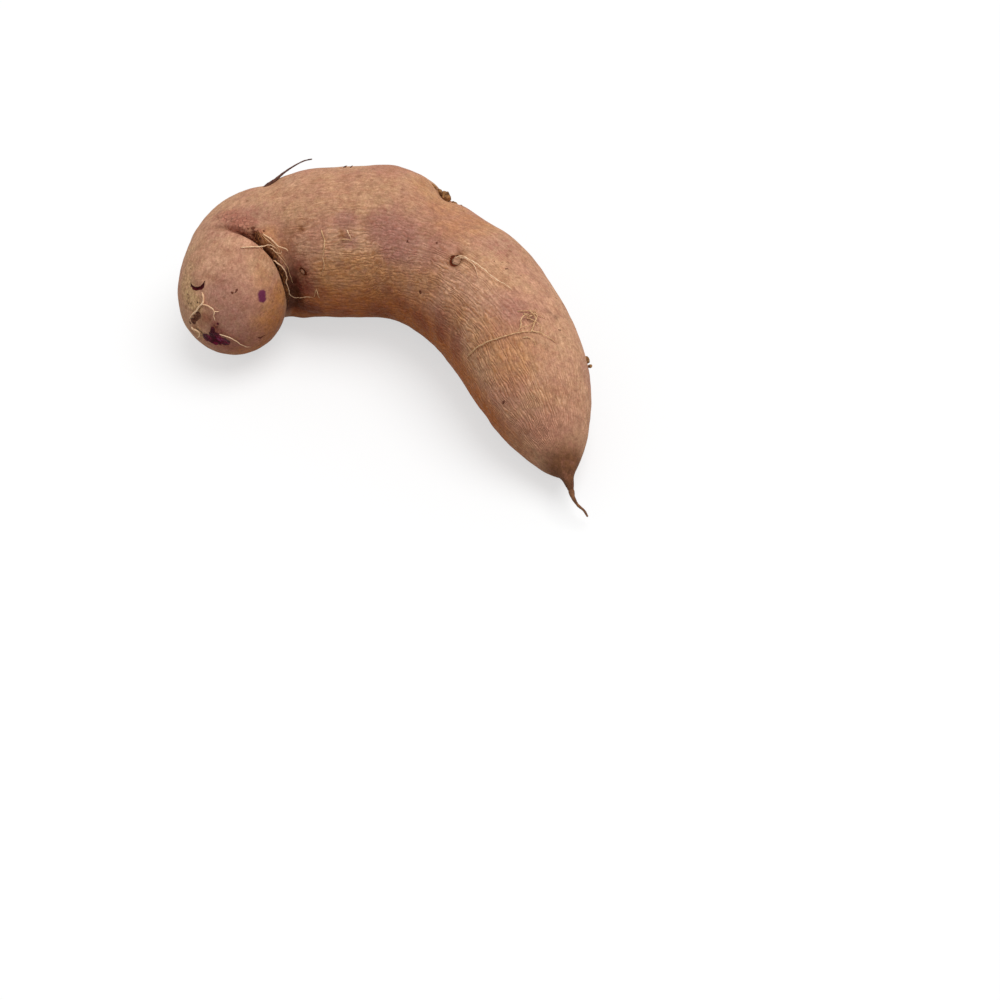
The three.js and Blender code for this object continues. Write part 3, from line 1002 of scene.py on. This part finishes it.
def wounded(n, colour, place, fine, gritty):
    """Pits, a bruise, scars and a wound: the colour with them, and where three of them are."""
    pit = broken(n, "pit", gritty, spread=0.6, soft=0.08)
    colour = n.mix(n.times(pit, 0.85), colour, srgb(96, 44, 26))
    bruise = broken(n, "bruise", gritty, spread=0.8, soft=0.36)
    colour = n.mix(bruise, colour, n.mix(fine, srgb(88, 30, 60), srgb(126, 58, 86)))
    scar = broken(n, "scar", gritty, spread=0.9, soft=0.12)
    colour = n.mix(scar, colour, n.mix(n.ramp(gritty, 0.35, 0.65), srgb(74, 22, 10), srgb(130, 86, 64)))
    wound = broken(n, "wound", gritty, spread=0.7, soft=0.16)
    marbling = n.ramp(n.noise(place, 2.0, detail=3, rough=0.6), 0.42, 0.7)
    flesh = n.mix(marbling, srgb(68, 0, 18), srgb(132, 16, 56))
    # Painted highlight on the wound's flesh.
    flesh = n.mix(n.attribute("painted_wound_highlight"), flesh, srgb(160, 74, 112))
    return n.mix(wound, colour, flesh), pit, scar, wound


def eye_marks(n, skin, place):
    """The root scars: their cracked rings, widest away from the open side, the knobs inside, and halos."""
    moved = n.jitter(n.jitter(place, 1.8, amount=0.5), 0.6, amount=0.3)
    worn = n.ramp(n.noise(place, 0.9, detail=3, rough=0.7), 0.3, 0.55, 0.4, 1.0)
    rings, knobs, halos = [], [], []
    for station, angle, radius, opening in EYES:
        centre, along, around, _ = skin.frame_at(station, angle)
        way = math.cos(math.radians(opening)) * along + math.sin(math.radians(opening)) * around
        offset = n.vector("SUBTRACT", moved, tuple(centre))
        away = n.length(offset)
        off_ring = n.math("ABSOLUTE", n.math("SUBTRACT", away, radius))
        towards = n.dot(offset, tuple(way / radius))
        width = n.times(n.ramp(towards, -0.7, 0.9, 0.75, 0.12), worn)
        rings.append(n.line(off_ring, width))
        knobs.append(n.ramp(away, 0.3 * radius, radius, 1.0, 0.0))
        halos.append(n.ramp(off_ring, 0.2, 1.6, 1.0, 0.0))
    return n.ramp(n.strongest(rings), 0.0, 0.7), n.strongest(knobs), n.strongest(halos)


def scarred(n, colour, skin, place):
    """The root scars: the colour with them, their cracks and their knobs."""
    cracks, knobs, halos = eye_marks(n, skin, place)
    colour = n.mix(n.times(halos, 0.45), colour, srgb(140, 94, 58))
    colour = n.mix(n.times(knobs, 0.75), colour, srgb(212, 164, 132))
    return n.mix(cracks, colour, srgb(98, 36, 12)), cracks, knobs


def nail_cut(n, skin, place):
    """How deep the curved cut on the head is, which is like the mark of a thumbnail."""
    origin, along, _, _ = skin.frame_at(CUT_STATION, CUT_ANGLE)
    offset = n.vector("SUBTRACT", n.jitter(place, 1.6, amount=0.35), tuple(origin))
    ahead = n.dot(offset, tuple(along))
    off_arc = n.math("ABSOLUTE", n.math("SUBTRACT", n.length(offset), CUT_RADIUS))
    width = n.ramp(ahead, -CUT_RADIUS, -CUT_ENDS, CUT_HALF_WIDTH, 0.15)
    return n.times(n.line(off_arc, width), n.math("LESS_THAN", ahead, -CUT_ENDS))


def skin_material(skin):
    """Dry tan skin with mauve patches, fine ripples, corky dots, soil and wounds."""
    material, n = new_material("sweet_potato_skin")
    place = in_millimetres(n)
    fine = n.noise(place, 1.1, detail=3, rough=0.7)
    middling = n.noise(place, 3.2, detail=4, rough=0.6)
    gritty = n.noise(place, 0.8, detail=4, rough=0.7)

    colour = broad_stains(n, tan_base(n, place), place, middling)
    colour = mottled(n, colour, place, fine, middling)
    colour, ripple, depth = rippled(n, colour, place)
    colour, gaps = pebbled(n, colour, place)
    colour, dots = dotted(n, colour, place)
    colour = soiled(n, colour, place, fine, gritty)
    colour, pit, scar, wound = wounded(n, colour, place, fine, gritty)
    colour, cracks, knobs = scarred(n, colour, skin, place)
    cut = nail_cut(n, skin, place)
    colour = n.mix(n.ramp(cut, 0.0, 0.4), colour, srgb(72, 6, 16))

    # Each mark's height in millimetres.
    heights = [
        (fine, 0.1), (middling, 0.15), (gaps, -0.6), (dots, -0.15),
        (pit, -0.4), (cracks, -0.6), (knobs, 0.8), (cut, -1.0),
    ]
    relief = n.times(ripple, n.times_plus(depth, 0.2, 0.02))
    for mark, height in heights:
        relief = n.times_plus(mark, height, relief)
    relief = n.times_plus(n.math("MAXIMUM", scar, wound), n.times(gritty, 0.8), relief)
    rough = n.times_plus(wound, -0.25, n.ramp(middling, 0.3, 0.7, 0.58, 0.76))
    finish_surface(n, colour, rough, 0.08, relief)
    return material


def root_material(name, light, dark, relief):
    """Dry root bark, streaked from light to dark, with a relief in millimetres."""
    material, n = new_material(name)
    place = in_millimetres(n)
    streaks = n.noise(place, 1.4, detail=4, rough=0.65)
    colour = n.mix(n.ramp(streaks, 0.3, 0.7), dark, light)
    height = n.times(n.noise(place, 0.6, detail=3, rough=0.6), relief)
    finish_surface(n, colour, 0.8, 0.15, height)
    return material


def floor_material(reflectance):
    """White paper to the camera, which keeps the object's shadow and throws little light back at it."""
    material, n = new_material("floor_paper")
    paper = n.add("BsdfDiffuse", {"Color": (reflectance,) * 3 + (1.0,)})
    lift = n.add("Emission", {"Color": (1, 1, 1, 1), "Strength": 1 - reflectance})
    both = n.add("AddShader", {0: paper, 1: lift})
    seen = n.add("MixShader", {0: seen_directly(n), 1: paper, 2: both})
    n.add("OutputMaterial", {"Surface": seen})
    return material


def seen_directly(n):
    """1 for what the camera sees, directly or through gloss or glass."""
    ray = n.add("LightPath").node.outputs
    return n.strongest([ray["Is Camera Ray"], ray["Is Glossy Ray"], ray["Is Transmission Ray"]])


# ---- Studio ----

# Places and sizes in metres, angles in degrees, the lens in millimetres.
CAMERA_AIM = Vector((0.044, -0.065, 0.0))
CAMERA_DISTANCE = 0.616
CAMERA_ELEVATION = 47.0
CAMERA_LENS = 63.0
WORLD_LEVEL = 0.5  # of white, on the object; the camera sees white
SUN_LEVEL = 0.57
SUN_FROM = Vector((0.3, 0.1, 0.95))
SUN_SOFTNESS = 50.0
FLOOR_REFLECTANCE = 0.4
FLOOR_SIZE = 8.0


def make_floor():
    half = FLOOR_SIZE / 2 / MM
    corners = [(-half, -half, 0), (half, -half, 0), (half, half, 0), (-half, half, 0)]
    floor = mesh_object("floor", corners, [(0, 1, 2, 3)])
    floor.data.materials.append(floor_material(FLOOR_REFLECTANCE))


def make_lights():
    light = bpy.data.lights.new("sun", "SUN")
    light.energy = SUN_LEVEL * math.pi
    light.angle = math.radians(SUN_SOFTNESS)
    sun = new_object("sun", light)
    sun.rotation_euler = (-SUN_FROM).to_track_quat("-Z", "Y").to_euler()

    world = bpy.data.worlds.new("white_room")
    bpy.context.scene.world = world
    world.use_nodes = True
    n = Nodes(world.node_tree)
    level = n.times_plus(seen_directly(n), 1 - WORLD_LEVEL, WORLD_LEVEL)
    background = n.add("Background", {"Color": (1, 1, 1, 1), "Strength": level})
    n.add("OutputWorld", {"Surface": background})


def make_camera():
    camera = new_object("camera", bpy.data.cameras.new("camera"))
    elevation = math.radians(CAMERA_ELEVATION)
    back = Vector((0, -math.cos(elevation), math.sin(elevation)))
    camera.location = CAMERA_AIM + back * CAMERA_DISTANCE
    camera.rotation_euler = (-back).to_track_quat("-Z", "Y").to_euler()
    camera.data.lens = CAMERA_LENS
    bpy.context.scene.camera = camera


# ---- Everything together ----

def finish_piece(piece, material):
    piece.data.materials.append(material)
    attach(piece, BODY)


skin = build_skin()
skin_piece = skin_object(skin)
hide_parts(NODE)
finish_piece(skin_piece, skin_material(skin))

straw = root_material("pale_rootlets", srgb(255, 220, 182), srgb(226, 178, 138), 0.06)
finish_piece(roots_object("pale_rootlets", skin, PALE_ROOTLETS, seed=100), straw)
tan = root_material("tan_rootlets", srgb(238, 196, 150), srgb(190, 144, 102), 0.06)
finish_piece(roots_object("tan_rootlets", skin, TAN_ROOTLETS, seed=200), tan)
humus = root_material("fold_fibres", srgb(170, 112, 66), srgb(80, 40, 18), 0.04)
finish_piece(fold_fibres(skin), humus)
bark = root_material("dark_roots", srgb(118, 80, 66), srgb(70, 46, 42), 0.1)
finish_piece(roots_object("dark_stumps", skin, DARK_STUMPS, seed=400), bark)
finish_piece(free_root("long_root", skin, *LONG_ROOT), bark)
brown = root_material("tail_root", srgb(148, 102, 70), srgb(92, 60, 42), 0.15)
finish_piece(free_root("tail_root", skin, *TAIL_ROOT), brown)
cork = root_material("torn_cork", srgb(184, 134, 84), srgb(84, 54, 34), 0.5)
finish_piece(root_stump(skin), cork)

make_floor()
make_lights()
make_camera()
bpy.context.scene.view_settings.view_transform = "Standard"
